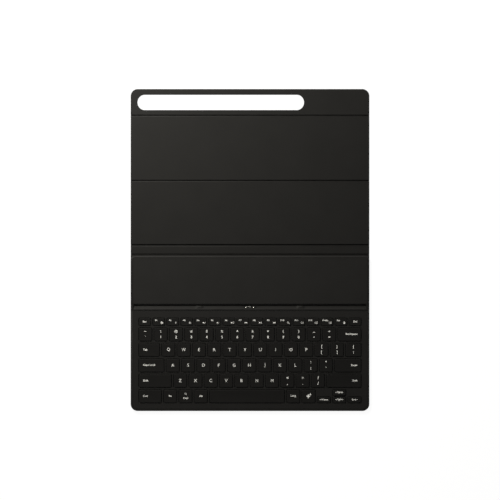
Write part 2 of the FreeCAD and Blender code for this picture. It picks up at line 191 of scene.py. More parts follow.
def loft(rings, closed_ends=True):
    """Quads between rings of equal size, with the ends closed by single faces."""
    n = len(rings[0])
    verts = [tuple(v) for ring in rings for v in ring]
    faces = []
    for k in range(len(rings) - 1):
        a, b = k * n, (k + 1) * n
        faces += [(a + i, a + (i + 1) % n, b + (i + 1) % n, b + i) for i in range(n)]
    if closed_ends:
        last = (len(rings) - 1) * n
        faces.append(tuple(reversed(range(n))))
        faces.append(tuple(range(last, last + n)))
    return verts, faces


def join(parts):
    """Several (verts, faces) as one."""
    verts, faces = [], []
    for v, f in parts:
        faces += [tuple(i + len(verts) for i in face) for face in f]
        verts += list(v)
    return verts, faces


def piece(name, mesh, material, sharp=40):
    """A shown object from (verts, faces), smooth but for edges sharper than this many degrees."""
    data = bpy.data.meshes.new(name)
    data.from_pydata([tuple(v) for v in mesh[0]], [], mesh[1])
    data.validate()
    data.polygons.foreach_set("use_smooth", [True] * len(data.polygons))
    data.set_sharp_from_angle(angle=math.radians(sharp))
    data.materials.append(material)
    made = bpy.data.objects.new(name, data)
    bpy.context.scene.collection.objects.link(made)
    return made


def islands(node):
    """(low, high) of each solid in a CAD node, from the back row to the front and left to right."""
    data = frame["nodes"][node].data
    parent = list(range(len(data.vertices)))

    def root(i):
        while parent[i] != i:
            parent[i] = parent[parent[i]]
            i = parent[i]
        return i

    same = {}
    for v in data.vertices:
        key = tuple(round(c, 7) for c in v.co)
        parent[v.index] = root(same.setdefault(key, v.index))
    for e in data.edges:
        parent[root(e.vertices[0])] = root(e.vertices[1])
    groups = {}
    for v in data.vertices:
        groups.setdefault(root(v.index), []).append(v.co)
    boxes = []
    for points in groups.values():
        p = np.array(points)
        boxes.append((Vector(p.min(0)), Vector(p.max(0))))
    return sorted(boxes, key=lambda b: (-round((b[0].y + b[1].y) / MM), b[0].x))


# ---------------------------------------------------------------- materials
class Shader:
    """A Principled material whose patterns follow the piece's own coordinates."""

    def __init__(self, name, roughness=0.5, metallic=0.0, specular=0.5):
        self.material = bpy.data.materials.new(name)
        self.material.use_nodes = True
        self.tree = self.material.node_tree
        self.tree.nodes.clear()
        self.out = self.add("ShaderNodeOutputMaterial")
        self.shader = self.add("ShaderNodeBsdfPrincipled")
        self.shader.inputs["Roughness"].default_value = roughness
        self.shader.inputs["Metallic"].default_value = metallic
        self.shader.inputs["Specular IOR Level"].default_value = specular
        self.link(self.shader.outputs["BSDF"], self.out.inputs["Surface"])
        self.place = self.add("ShaderNodeTexCoord").outputs["Object"]

    def add(self, kind, **values):
        """A new node with these settings."""
        node = self.tree.nodes.new(kind)
        for key, value in values.items():
            setattr(node, key, value)
        return node

    def link(self, a, b):
        """Joins output a to input b."""
        self.tree.links.new(a, b)

    def stretched(self, scale):
        """The piece's coordinates, scaled along each axis."""
        node = self.add("ShaderNodeMapping")
        node.inputs["Scale"].default_value = scale
        self.link(self.place, node.inputs["Vector"])
        return node.outputs["Vector"]

    def noise(self, size, detail=2.0, rough=0.5, stretch=None):
        """Noise whose features are about this size, from 0 to 1."""
        node = self.add("ShaderNodeTexNoise")
        node.inputs["Scale"].default_value = 1 / size
        node.inputs["Detail"].default_value = detail
        node.inputs["Roughness"].default_value = rough
        self.link(self.stretched(stretch) if stretch else self.place, node.inputs["Vector"])
        return node.outputs["Fac"]

    def cells(self, size, smooth=0.4):
        """Rounded pebbles about this size, from 0 at their middles."""
        node = self.add("ShaderNodeTexVoronoi", feature="SMOOTH_F1")
        node.inputs["Scale"].default_value = 1 / size
        node.inputs["Smoothness"].default_value = smooth
        self.link(self.place, node.inputs["Vector"])
        return node.outputs["Distance"]

    def spread(self, value, low, high, to_low, to_high):
        """The value mapped from one range to another, and held inside it."""
        node = self.add("ShaderNodeMapRange")
        limits = {"From Min": low, "From Max": high, "To Min": to_low, "To Max": to_high}
        for slot, number in limits.items():
            node.inputs[slot].default_value = number
        self.link(value, node.inputs["Value"])
        return node.outputs["Result"]

    def colours(self, value, stops):
        """Sets the base colour by a ramp of (position, colour)."""
        ramp = self.add("ShaderNodeValToRGB")
        elements = ramp.color_ramp.elements
        while len(elements) < len(stops):
            elements.new(0.5)
        for element, (position, colour) in zip(elements, stops):
            element.position = position
            element.color = (*colour, 1)
        self.link(value, ramp.inputs["Fac"])
        self.link(ramp.outputs["Color"], self.shader.inputs["Base Color"])

    def sum(self, a, b, share):
        """a plus share of b."""
        node = self.add("ShaderNodeMath", operation="MULTIPLY_ADD")
        node.inputs[1].default_value = share
        self.link(b, node.inputs[0])
        self.link(a, node.inputs[2])
        return node.outputs["Value"]

    def bump(self, height, depth, strength=1.0):
        """Sets the surface's relief from a height of 0 to 1, with this full depth."""
        node = self.add("ShaderNodeBump")
        node.inputs["Strength"].default_value = strength
        node.inputs["Distance"].default_value = depth
        self.link(height, node.inputs["Height"])
        self.link(node.outputs["Normal"], self.shader.inputs["Normal"])

    def roughness(self, value, low, high, low_in=0.3, high_in=0.7):
        """Sets the roughness between low and high by a value."""
        self.link(self.spread(value, low_in, high_in, low, high), self.shader.inputs["Roughness"])


def tint(level, warmth=0.025):
    """A near-black, very slightly warm grey."""
    return (level * (1 + warmth), level, level * (1 - warmth))


def leatherette(name, level, pebble, depth, rough, specular):
    """Coated cloth: fine pebbles pressed into a matt film, with faint clouding."""
    s = Shader(name, rough, specular=specular)
    clouds = s.noise(34 * MM, 3)
    speck = s.noise(0.5 * MM, 1)
    s.colours(s.sum(clouds, speck, 0.25), [(0.35, tint(level * 0.93)), (0.85, tint(level * 1.08))])
    s.roughness(s.noise(1.6 * MM, 2), rough - 0.05, rough + 0.05)
    grain = s.sum(s.cells(pebble), s.noise(pebble * 0.35, 2), 0.35)
    s.bump(grain, depth, 0.6)
    return s.material


def moulded(name, level, grain, depth, rough, specular=0.4, warmth=0.025):
    """Injection-moulded plastic with a spark-eroded skin."""
    s = Shader(name, rough, specular=specular)
    clouds = s.noise(22 * MM, 2)
    s.colours(clouds, [(0.3, tint(level * 0.95, warmth)), (0.7, tint(level * 1.05, warmth))])
    skin = s.noise(grain, 3, 0.6)
    s.roughness(skin, rough - 0.04, rough + 0.06)
    s.bump(skin, depth, 0.5)
    return s.material


def brushed(name, colour, rough, direction=(1, 14, 14), grain=0.12 * MM):
    """Metal with fine lines along one axis."""
    s = Shader(name, rough, metallic=1.0)
    lines = s.noise(grain * 8, 3, 0.6, stretch=direction)
    dark = tuple(c * 0.86 for c in colour)
    s.colours(lines, [(0.3, dark), (0.7, colour)])
    s.roughness(lines, rough - 0.08, rough + 0.1)
    s.bump(lines, 0.01 * MM, 0.4)
    return s.material


def film(name, low, high, line, rough):
    """Printed film or resist with fine tracks."""
    s = Shader(name, rough)
    tracks = s.add("ShaderNodeTexWave", wave_type="BANDS", bands_direction="DIAGONAL")
    tracks.inputs["Scale"].default_value = 0.25 / line
    tracks.inputs["Distortion"].default_value = 2.0
    s.link(s.place, tracks.inputs["Vector"])
    s.colours(tracks.outputs["Fac"], [(0.45, low), (0.55, high)])
    s.roughness(s.noise(3 * MM), rough - 0.08, rough + 0.08)
    s.bump(tracks.outputs["Fac"], 0.01 * MM, 0.4)
    return s.material


def woven_board(name, low, high):
    """Glass-fibre board: a plain weave under clear resin."""
    s = Shader(name, 0.45)
    warp = s.noise(0.8 * MM, 1, stretch=(1, 0.12, 1))
    weft = s.noise(0.8 * MM, 1, stretch=(0.12, 1, 1))
    weave = s.sum(warp, weft, 1.0)
    s.colours(s.spread(weave, 0.7, 1.3, 0, 1), [(0.2, low), (0.8, high)])
    s.roughness(s.noise(2 * MM), 0.38, 0.55)
    s.bump(weave, 0.02 * MM, 0.4)
    return s.material


def printed(name, level):
    """Pale print on the keys, slightly uneven in its cover."""
    s = Shader(name, 0.5, specular=0.3)
    cover = s.noise(0.25 * MM, 2)
    thin = (level * 0.92, level * 0.92, level * 0.9)
    full = (level, level, level * 0.985)
    s.colours(cover, [(0.3, thin), (0.7, full)])
    s.roughness(cover, 0.45, 0.6)
    s.bump(cover, 0.004 * MM, 0.4)
    return s.material


FLOOR_DARK = (0.10, 0.10, 0.10)
FLOOR_PALE = (0.11, 0.11, 0.11)
FLOOR_GLOW = 0.945


def studio_floor():
    """Pale paper on a light table: it glows a little, so that the case throws hardly any shadow."""
    s = Shader("floor_paper", 0.9, specular=0.1)
    s.colours(s.noise(0.4, 2), [(0.3, FLOOR_DARK), (0.7, FLOOR_PALE)])
    s.shader.inputs["Emission Color"].default_value = (1, 1, 1, 1)
    s.shader.inputs["Emission Strength"].default_value = FLOOR_GLOW
    s.bump(s.noise(1.5 * MM, 2), 0.02 * MM, 0.2)
    return s.material


LINING = leatherette("inner_lining", 0.0105, 0.42 * MM, 0.035 * MM, 0.58, 0.125)
OUTER = leatherette("outer_leatherette", 0.0102, 0.62 * MM, 0.06 * MM, 0.54, 0.16)
# The crease skin is the lining's leatherette coloured darker: painted shade in the creases.
CREASE_PAINTED_SHADE = leatherette("crease_skin_painted_shade", 0.0072, 0.36 * MM, 0.03 * MM, 0.62, 0.1)
CASING = moulded("casing", 0.0120, 0.3 * MM, 0.02 * MM, 0.57, 0.14)
LEDGE = moulded("ledge", 0.0101, 0.24 * MM, 0.016 * MM, 0.57, 0.13)
KEYCAP = moulded("keycap", 0.0092, 0.2 * MM, 0.012 * MM, 0.55, 0.1)
COLLAR = moulded("collar", 0.004, 0.15 * MM, 0.01 * MM, 0.5, 0.1)
PRINT = printed("legend_print", 0.88)
PINS = brushed("contact_metal", (0.86, 0.84, 0.79), 0.2, (14, 14, 1), 0.05 * MM)
STEEL = brushed("steel_sheet", (0.52, 0.52, 0.53), 0.34)
MAGNET = brushed("magnet", (0.6, 0.6, 0.61), 0.28)
BOARD = woven_board("stiff_board", (0.16, 0.15, 0.12), (0.26, 0.25, 0.2))
RESIST = film("circuit_board", (0.01, 0.06, 0.03), (0.03, 0.14, 0.07), 0.5 * MM, 0.35)
RIBBON = film("ribbon", (0.26, 0.13, 0.03), (0.42, 0.24, 0.07), 0.5 * MM, 0.3)
MEMBRANE = film("membrane_film", (0.05, 0.05, 0.055), (0.11, 0.11, 0.12), 1.2 * MM, 0.35)
DOME = moulded("dome_rubber", 0.3, 0.3 * MM, 0.01 * MM, 0.6, 0.4, 0.0)
LINK = moulded("link_plastic", 0.03, 0.2 * MM, 0.01 * MM, 0.45)
HOUSING = moulded("moulded_insulator", 0.012, 0.2 * MM, 0.01 * MM, 0.45)

KEPT = {
    OUTER: ["deck_skin", "spine_skin", "lower_panel_skin", "upper_panel_skin", "flap_skin"],
    BOARD: ["lower_panel_board", "upper_panel_board", "flap_board"],
    MAGNET: ["rest_magnets", "upper_panel_magnets"],
    STEEL: ["support_plate"],
    PINS: ["pogo_pins"],
    HOUSING: ["pogo_housing"],
    RESIST: ["controller_board"],
    RIBBON: ["flex_cable"],
    MEMBRANE: ["membrane_sheet"],
    DOME: ["rubber_domes"],
    LINK: ["scissor_links"],
}


def dress_kept_parts():
    """Gives each part that keeps its CAD shape its material."""
    for material, nodes in KEPT.items():
        for node in nodes:
            data = frame["nodes"][node].data
            data.materials.clear()
            data.materials.append(material)


# ---------------------------------------------------------------- cover
def cover_lining(node, body, rear_r=0.0, hole=None, front_reach=0.0, rear_reach=0.0):
    """Soft sheet over one cover part: flat, with its edges rolled down towards skin and creases."""
    low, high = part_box(node)
    y0 = low.y - front_reach
    y1 = high.y + rear_reach
    outline = rounded_rectangle(low.x, high.x, y0, y1, 0, rear_r)
    down = min(LINING_ROLL_DOWN, (high.z - low.z) * LINING_ROLL_LIMIT)
    roll = roll_levels(LINING_ROLL_IN, down, high.z)
    weights = [LINING_FRONT_SHARE] + [1.0] * (len(outline) - 1)
    loops = [(outline, [(0, low.z)] + roll, weights)]
    if hole:
        roll = roll_levels(LINING_ROLL_IN * LINING_HOLE_SHARE, LINING_ROLL_DOWN, high.z)
        loops.append((hole, [(0, low.z)] + roll, None))
    made = piece(node + "_sheet", plate(loops), LINING, 50)
    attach(made, body)
    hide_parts(node)


def slot_outline():
    """Outline of the camera and pen slot in the flap's lining, from the frame's opening."""
    opening = frame["record"]["physics"]["openings"][0]["box_m"]
    y = (opening[0][1] + opening[1][1]) / 2
    chord = math.sqrt(SLOT_END_R ** 2 - ((opening[1][1] - opening[0][1]) / 2) ** 2)
    reach = SLOT_END_R - chord
    return stadium(opening[0][0] - reach, opening[1][0] + reach, y, SLOT_END_R)


def crease(node, joint):
    """Thin skin that runs under both parts and spans the gap between them, pressed down to a fine line."""
    y = CREASE_Y[joint]
    x = HALF_W - HAIR
    ys = np.concatenate([[-CREASE_TUCK], np.linspace(-CREASE_HALF, CREASE_HALF, 15), [CREASE_TUCK]])
    top = AXIS_Z - CREASE_UNDERSIDE + HAIR
    upper = [top - CREASE_DIP * math.exp(-(v / CREASE_DIP_REACH) ** 2) for v in ys]
    rings = []
    for at in np.linspace(-x, x, 25):
        section = [(at, y + v, CREASE_UNDERSIDE) for v in ys]
        section += [(at, y + v, z) for v, z in zip(ys[::-1], upper[::-1])]
        rings.append(section)
    # The strip takes the darker crease material, which paints shade into the creases.
    made = piece(node + "_strip", loft(rings), CREASE_PAINTED_SHADE, 60)
    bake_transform(made)
    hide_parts(node)


def deck_tongue():
    """The outer skin's square rear corners, which show past the deck's rounded ones."""
    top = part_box("spine_skin")[1].z
    outline = rounded_rectangle(-HALF_W, HALF_W, DECK_REAR - DECK_REAR_R - MM, DECK_REAR, 0, 0)
    levels = [(0, HAIR), (0, top - TONGUE_BEVEL), (TONGUE_BEVEL, top)]
    made = piece("deck_skin_tongue", plate([(outline, levels, None)]), OUTER, 50)
    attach(made, "deck")


def build_cover():
    """Linings of the four parts, the creases between them and the skin's end at the deck."""
    deck_tongue()
    cover_lining("spine_lining", "spine")
    cover_lining("lower_panel_lining", "lower_panel", rear_reach=LINING_REACH)
    cover_lining("upper_panel_lining", "upper_panel", front_reach=LINING_REACH, rear_reach=LINING_REACH)
    cover_lining("flap_lining", "flap", FLAP_CORNER_R, slot_outline(), front_reach=LINING_REACH)
    crease("deck_crease", "cover_lift")
    crease("spine_crease", "cover_close")
    crease("panel_crease", "cover_fold")
    crease("flap_crease", "cover_flap")


# ---------------------------------------------------------------- deck
def rim_line_depth(distance):
    """Depth of the fine line between the deck's wrapped rim and its top, this far in from the edge."""
    share = 1 - abs(distance - RIM_WIDTH - RIM_LINE / 2) / (RIM_LINE / 2)
    return RIM_LINE_DEPTH * min(max(share * 1.6, 0.0), 1.0)


def casing_levels():
    """Upright side, rolled edge, flat rim and the line inside it."""
    levels = [(0, CASING_FOOT)] + roll_levels(DECK_ROLL, DECK_ROLL_DOWN, DECK_TOP, 7)
    for share in RIM_LINE_SHARES:
        distance = RIM_WIDTH + share * RIM_LINE
        levels.append((distance, DECK_TOP - rim_line_depth(distance)))
    return levels


def deck_outline(y0, y1, front_r, rear_r):
    """Deck outline with weights that roll its free edges fully and its seams only a little."""
    outline = rounded_rectangle(-HALF_W, HALF_W, y0, y1, front_r, rear_r, 10)
    weights = []
    for i, (x, y) in enumerate(outline):
        nx, ny = outline[(i + 1) % len(outline)]
        across = abs(y - ny) < 1e-9 and abs(nx - x) > HALF_W
        plain = (y == y0 and not front_r) or (y == y1 and not rear_r)
        weights.append(SEAM_ROLL / DECK_ROLL if across and plain else 1.0)
    return outline, weights


def window_loop(low, high):
    """Clockwise outline of one key's window, with its levels: a straight wall and a fine chamfer."""
    radius = CAP_CORNER_R + WINDOW_GAP
    outline = rounded_rectangle(low.x - WINDOW_GAP, high.x + WINDOW_GAP,
                                low.y - WINDOW_GAP, high.y + WINDOW_GAP, radius, radius, 5)
    shoulder = WINDOW_CHAMFER * 0.35
    levels = [(0, CASING_FOOT), (0, DECK_TOP - WINDOW_CHAMFER), (shoulder, DECK_TOP - shoulder),
              (WINDOW_CHAMFER, DECK_TOP)]
    return outline[::-1], levels, None


def build_casing(key_boxes):
    """The deck's top casing with a window for each key, and the plain one behind the dock."""
    low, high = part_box("deck_frame")
    outline, weights = deck_outline(low.y, high.y, DECK_FRONT_R, 0)
    loops = [(outline, casing_levels(), weights)]
    loops += [window_loop(*b) for b in key_boxes]
    made = piece("deck_frame_casing", plate(loops), CASING, 50)
    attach(made, "deck")
    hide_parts("deck_frame")
    low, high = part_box("rest_plate")
    outline, weights = deck_outline(low.y, high.y, 0, DECK_REAR_R)
    made = piece("rest_plate_casing", plate([(outline, casing_levels(), weights)]), CASING, 50)
    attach(made, "deck")
    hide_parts("rest_plate")


# ---- dock groove, from the ledge's box
LEDGE_LOW, LEDGE_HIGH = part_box("dock_ledge")
REAR_LIP = 0.5 * MM
GROOVE_WIDTH = 6.0 * MM
GROOVE_DEPTH = 2.0 * MM
GROOVE_FLOOR = 2.7 * MM
REAR_WALL_LEAN = 0.4 * MM
CREST_RUN = 1.3 * MM
PIN_FROM_CREST = 2.6 * MM
EDGE_R = 0.45 * MM
LONG_RUN = 0.8 * MM
LONG_RUN_STEPS = 6
END_WALL = 0.05 * MM
END_FILLET = 0.4 * MM
STATION_MARGIN = 6 * MM
GROOVE_REAR_Y = LEDGE_HIGH.y - REAR_LIP
CREST_Y = GROOVE_REAR_Y - GROOVE_WIDTH
CREST_Z = LEDGE_HIGH.z
FLOOR_Z = DECK_TOP - GROOVE_DEPTH
SLOPE_FOOT_Y = GROOVE_REAR_Y - GROOVE_FLOOR
GROOVE_X = (-HALF_W + 3.5 * MM, HALF_W - 4.0 * MM)
SLOPE = math.atan2(CREST_Z - FLOOR_Z, SLOPE_FOOT_Y - CREST_Y)
SLOPE_NORMAL = Vector((0, math.sin(SLOPE), math.cos(SLOPE)))
PIN_FOOT_Y = CREST_Y + PIN_FROM_CREST
PIN_FOOT = Vector((0, PIN_FOOT_Y, CREST_Z - PIN_FROM_CREST * math.tan(SLOPE)))

# ---- guide bumps in the groove
GUIDE_X = 61.3 * MM
GUIDE_HEIGHT = 1.15 * MM
GUIDE_REACH_X = 5.6 * MM
GUIDE_FADE_X = 4.2 * MM
GUIDE_REACH_Y = 2.2 * MM
GUIDE_FADE_Y = 1.5 * MM
GUIDE_Y = SLOPE_FOOT_Y - 0.6 * MM
GUIDE_REAR_GAP = 0.3 * MM
GUIDE_BELOW_CREST = 0.5 * MM


def rounded_path(points, radius, steps=4):
    """An open line of (y, z) with its inner corners turned into short curves."""
    out = [points[0]]
    for a, b, c in zip(points, points[1:], points[2:]):
        a, b, c = (np.array(p, float) for p in (a, b, c))
        back = min(radius, np.linalg.norm(a - b) / 2.6)
        on = min(radius, np.linalg.norm(c - b) / 2.6)
        start = b + (a - b) / np.linalg.norm(a - b) * back
        end = b + (c - b) / np.linalg.norm(c - b) * on
        out.append(tuple(start + (start - b) * 0.2))
        for t in np.linspace(0, 1, steps + 1):
            out.append(tuple((1 - t) ** 2 * start + 2 * t * (1 - t) * b + t * t * end))
        out.append(tuple(end + (end - b) * 0.2))
    out.append(points[-1])
    return out


def smooth_step(value):
    """The value held between 0 and 1 and eased at both ends."""
    value = min(max(value, 0.0), 1.0)
    return value * value * (3 - 2 * value)


def guide_height(x, y):
    """How far a guide bump lifts the groove here: a ridge across it, broad at its foot."""
    along = smooth_step((GUIDE_REACH_X - abs(abs(x) - GUIDE_X)) / GUIDE_FADE_X)
    across = smooth_step((GUIDE_REACH_Y - abs(y - GUIDE_Y)) / GUIDE_FADE_Y)
    return GUIDE_HEIGHT * along * across


def ledge_stations():
    """X places of the ledge's sections: close together at its ends and at the guide bumps."""
    ends = [HALF_W - DECK_ROLL * (1 - math.sin(t)) for t in np.radians(np.linspace(0, 90, 7))]
    xs = [-x for x in ends] + ends
    for share in RIM_LINE_SHARES:
        xs += [HALF_W - RIM_WIDTH - share * RIM_LINE, -HALF_W + RIM_WIDTH + share * RIM_LINE]
    for x in GROOVE_X:
        xs += [x - END_WALL, x, x + END_WALL, x + (END_FILLET if x < 0 else -END_FILLET)]
    xs += list(np.linspace(-HALF_W + STATION_MARGIN, HALF_W - STATION_MARGIN, 60))
    for middle in (-GUIDE_X, GUIDE_X):
        xs += list(middle + np.linspace(-6, 6, 33) * MM)
    return sorted(xs)


def ledge_section():
    """The ledge's cross-section as (y, z) points, close together along the groove."""
    y0, y1 = LEDGE_LOW.y, LEDGE_HIGH.y
    flat = [(y0, LEDGE_LOW.z), (y0, DECK_TOP - SEAM_ROLL), (y0 + SEAM_ROLL, DECK_TOP),
            (CREST_Y - CREST_RUN, DECK_TOP), (CREST_Y, CREST_Z), (SLOPE_FOOT_Y, FLOOR_Z),
            (GROOVE_REAR_Y - REAR_WALL_LEAN, FLOOR_Z), (GROOVE_REAR_Y, DECK_TOP),
            (y1 - SEAM_ROLL, DECK_TOP), (y1, DECK_TOP - SEAM_ROLL), (y1, LEDGE_LOW.z)]
    section = rounded_path(flat, EDGE_R)
    groove = [p for p in section if CREST_Y < p[0] < GROOVE_REAR_Y]
    dense = []
    for a, b in zip(section, section[1:]):
        is_long = a in groove and b in groove and abs(b[0] - a[0]) > LONG_RUN
        steps = LONG_RUN_STEPS if is_long else 1
        dense += [(a[0] + (b[0] - a[0]) * k / steps, a[1] + (b[1] - a[1]) * k / steps) for k in range(steps)]
    dense.append(section[-1])
    return dense


def build_ledge():
    """The dock ledge: its section drawn across the deck, plain and rolled down at both ends."""
    section = ledge_section()
    rings = []
    for x in ledge_stations():
        inside = GROOVE_X[0] <= x <= GROOVE_X[1]
        side = min(max((abs(x) - (HALF_W - DECK_ROLL)) / DECK_ROLL, 0), 1)
        cap = DECK_TOP - DECK_ROLL_DOWN * (1 - math.sqrt(max(1 - side * side, 0)))
        cap -= rim_line_depth(HALF_W - abs(x))
        points = []
        for y, z in section:
            if not inside and LEDGE_LOW.y + SEAM_ROLL <= y <= LEDGE_HIGH.y - SEAM_ROLL:
                z = DECK_TOP
            if not inside:
                z = min(z, cap)
            if inside and CREST_Y < y < GROOVE_REAR_Y - GUIDE_REAR_GAP:
                z = min(z + guide_height(x, y), max(z, CREST_Z - GUIDE_BELOW_CREST))
            points.append((x, y, z))
        rings.append(points)
    verts, faces = loft(rings)
    faces = [tuple(reversed(f)) for f in faces]
    made = piece("dock_ledge_bar", (verts, faces), LEDGE, 35)
    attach(made, "deck")
    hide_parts("dock_ledge")


def on_slope(across, along, out):
    """A place on the groove's slope, from the middle of the pins: rightwards, uphill and out of it."""
    uphill = Vector((0, -math.cos(SLOPE), math.sin(SLOPE)))
    return PIN_FOOT + Vector((across, 0, 0)) + uphill * along + SLOPE_NORMAL * out


# ---- pad round the contact pins, and a collar's section as (radius, height) in millimetres
PAD_HALF = 8.2 * MM
PAD_DOWN = 1.15 * MM
PAD_UP = 1.45 * MM
PAD_R = 1.0 * MM
PAD_SINK = -0.1 * MM
PAD_TOP = 0.12 * MM
PIN_HOLE_R = 1.12 * MM
COLLAR_SECTION = [(1.13, 0.1), (1.13, 0.24), (1.2, 0.3), (1.42, 0.3), (1.58, 0.22), (1.62, 0.1)]


def build_pin_shroud():
    """Dark insulating pad let into the slope, with a raised collar round each contact pin."""
    pins = [(low.x + high.x) / 2 for low, high in islands("pogo_pins")]
    outline = rounded_rectangle(-PAD_HALF, PAD_HALF, -PAD_DOWN, PAD_UP, PAD_R, PAD_R, 6)
    loops = [(outline, [(0, PAD_SINK), (0, 0.05 * MM), (0.07 * MM, PAD_TOP)], None)]
    for x in pins:
        hole = arc((x, 0), PIN_HOLE_R, 360, 11.25, 31)
        loops.append((hole, [(0, PAD_SINK), (0, PAD_TOP - HAIR), (HAIR, PAD_TOP)], None))
    pad = plate(loops)
    parts = [([tuple(on_slope(*v)) for v in pad[0]], pad[1])]
    for x in pins:
        rings = []
        for t in np.linspace(0, 2 * math.pi, 33)[:-1]:
            c, s = math.cos(t), math.sin(t)
            rings.append([on_slope(x + r * MM * c, r * MM * s, h * MM) for r, h in COLLAR_SECTION])
        parts.append(loft(rings + rings[:1], closed_ends=False))
    made = piece("pin_shroud", join(parts), COLLAR)
    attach(made, "deck")


# ---------------------------------------------------------------- keycaps
def cap_size(low, high):
    """Centre, and half width and half depth of the flat top of a keycap."""
    middle = (low + high) / 2
    edge = CAP_TAPER + CAP_ROLL
    return middle, (high.x - low.x) / 2 - edge, (high.y - low.y) / 2 - edge


def cap_height(low, high, x, y):
    """Height of a keycap's top at this place: a shallow dish that starts at its rolled edge."""
    middle, half_x, half_y = cap_size(low, high)
    reach = min(half_x, half_y)
    depth = min(half_x - abs(x - middle.x), half_y - abs(y - middle.y))
    t = min(max(depth / reach, 0.0), 1.0)
    return high.z - CAP_DISH * (1 - (1 - t) ** 2)


def keycap(low, high):
    """One cap: slightly tapered walls, a rolled edge and a dished top."""
    outline = rounded_rectangle(low.x, high.x, low.y, high.y, CAP_CORNER_R, CAP_CORNER_R, 6)
    wall_top = high.z - CAP_ROLL
    levels = [(CAP_FOOT_BEVEL, low.z), (0, low.z + CAP_FOOT_BEVEL), (CAP_TAPER, wall_top)]
    for t in np.radians(np.linspace(0, 90, 5))[1:]:
        levels.append((CAP_TAPER + CAP_ROLL * (1 - math.cos(t)), high.z - CAP_ROLL * (1 - math.sin(t))))
    rings = [[(x, y, z) for x, y in inset(outline, d)] for d, z in levels]
    middle, half_x, half_y = cap_size(low, high)
    reach = min(half_x, half_y)
    corner = max(CAP_CORNER_R - CAP_TAPER - CAP_ROLL, 0)
    for t in (0.12, 0.26, 0.42, 0.6, 0.8, 0.97):
        hx, hy = half_x - reach * t, half_y - reach * t
        r = min(corner * (1 - t) + HAIR, hx * 0.9, hy * 0.9)
        inner = rounded_rectangle(middle.x - hx, middle.x + hx, middle.y - hy, middle.y + hy, r, r, 6)
        z = high.z - CAP_DISH * (1 - (1 - t) ** 2)
        rings.append([(x, y, z) for x, y in inner])
    return loft(rings)


# ---------------------------------------------------------------- legends: letters and icons
LETTER_SPACING = 1.06


def lettering(text, size, stretch, bold):
    """(verts, faces) of one word, centred, as a thin raised print."""
    curve = bpy.data.curves.new("text", "FONT")
    curve.body = text
    curve.size = size
    curve.offset = bold
    curve.space_character = LETTER_SPACING
    curve.resolution_u = 3
    curve.extrude = PRINT_T / 2
    holder = bpy.data.objects.new("text", curve)
    bpy.context.scene.collection.objects.link(holder)
    graph = bpy.context.evaluated_depsgraph_get()
    data = holder.evaluated_get(graph).to_mesh()
    verts = [tuple(v.co) for v in data.vertices]
    faces = [tuple(p.vertices) for p in data.polygons]
    bpy.data.objects.remove(holder)
    bpy.data.curves.remove(curve)
    p = np.array(verts)
    p[:, :2] -= (p[:, :2].max(0) + p[:, :2].min(0)) / 2
    p[:, 0] *= stretch
    return [tuple(v) for v in p], faces


def flat_shape(outlines):
    """A thin raised shape from outlines in millimetres: the first one, less the others."""
    loops = []
    for k, outline in enumerate(outlines):
        p = [(x * MM, y * MM) for x, y in outline]
        area = sum(a[0] * b[1] - b[0] * a[1] for a, b in zip(p, p[1:] + p[:1]))
        if (area > 0) != (k == 0):
            p = p[::-1]
        loops.append((p, [(0, -PRINT_T / 2), (0, PRINT_T / 2)], None))
    return plate(loops)


def line(points, width):
    """A stroke of this width along a few points."""
    p = np.array(points, float)
    step = np.diff(p, axis=0)
    step /= np.linalg.norm(step, axis=1)[:, None]
    normals = np.stack([-step[:, 1], step[:, 0]], 1)
    turns = np.vstack([normals[:1], normals[:-1] + normals[1:], normals[-1:]])
    turns /= (np.sum(turns ** 2, axis=1) / 2 * np.array([2] + [1] * (len(p) - 2) + [2]))[:, None]
    left = p + turns * width / 2
    right = p - turns * width / 2
    return flat_shape([[tuple(v) for v in left] + [tuple(v) for v in right[::-1]]])


# ---- icons, in millimetres about their own middles
STROKE = 0.22
FRAME_STROKE = 0.2
DIAMOND_PINCH = 0.42


def circle(x, y, radius, steps):
    """Outline of a full circle."""
    return arc((x, y), radius, 0, 360 - 360 / steps, steps - 1)


def ring(x, y, radius, width, steps=20):
    """A circle's line, its width inside the radius."""
    return flat_shape([circle(x, y, radius, steps), circle(x, y, radius - width, steps)])


def disc(x, y, radius, steps=16):
    """A filled circle."""
    return flat_shape([circle(x, y, radius, steps)])


def sun(size, rays):
    """Brightness sign: a dot with short rays."""
    parts = [disc(0, 0, size * 0.42)]
    for k in range(rays):
        t = 2 * math.pi * k / rays
        c, s = math.cos(t), math.sin(t)
        parts.append(line([(c * size * 0.62, s * size * 0.62), (c * size, s * size)], STROKE))
    return join(parts)


def speaker(waves):
    """Volume sign: a loudspeaker with this many waves, or a cross for none."""
    parts = [flat_shape([[(-1.2, -0.4), (-0.7, -0.4), (0, -1.0), (0, 1.0), (-0.7, 0.4), (-1.2, 0.4)]])]
    if waves == 0:
        parts += [line([(0.5, -0.5), (1.4, 0.5)], STROKE), line([(0.5, 0.5), (1.4, -0.5)], STROKE)]
    for k in range(waves):
        parts.append(line(arc((0, 0), 0.7 + 0.55 * k, -45, 45, 6), STROKE))
    return join(parts)


def gear():
    """Settings sign: a toothed wheel."""
    teeth = 8
    outline = []
    for k in range(teeth):
        for turn, radius in ((-0.3, 1.0), (-0.18, 1.35), (0.18, 1.35), (0.3, 1.0)):
            t = 2 * math.pi * (k + turn) / teeth
            outline.append((radius * math.cos(t), radius * math.sin(t)))
    return flat_shape([outline, arc((0, 0), 0.5, 0, 330, 11)])


def magnifier(scale=1.0):
    """Search sign."""
    return join([ring(-0.2 * scale, 0.2 * scale, 0.9 * scale, 0.26 * scale),
                 line([(0.4 * scale, -0.4 * scale), (1.2 * scale, -1.2 * scale)], 0.32 * scale)])


def outline_box(half_x, half_y):
    """A rounded frame's line."""
    outer = rounded_rectangle(-half_x, half_x, -half_y, half_y, 0.25, 0.25, 3)
    in_x = half_x - FRAME_STROKE
    in_y = half_y - FRAME_STROKE
    return flat_shape([outer, rounded_rectangle(-in_x, in_x, -in_y, in_y, 0.1, 0.1, 3)])


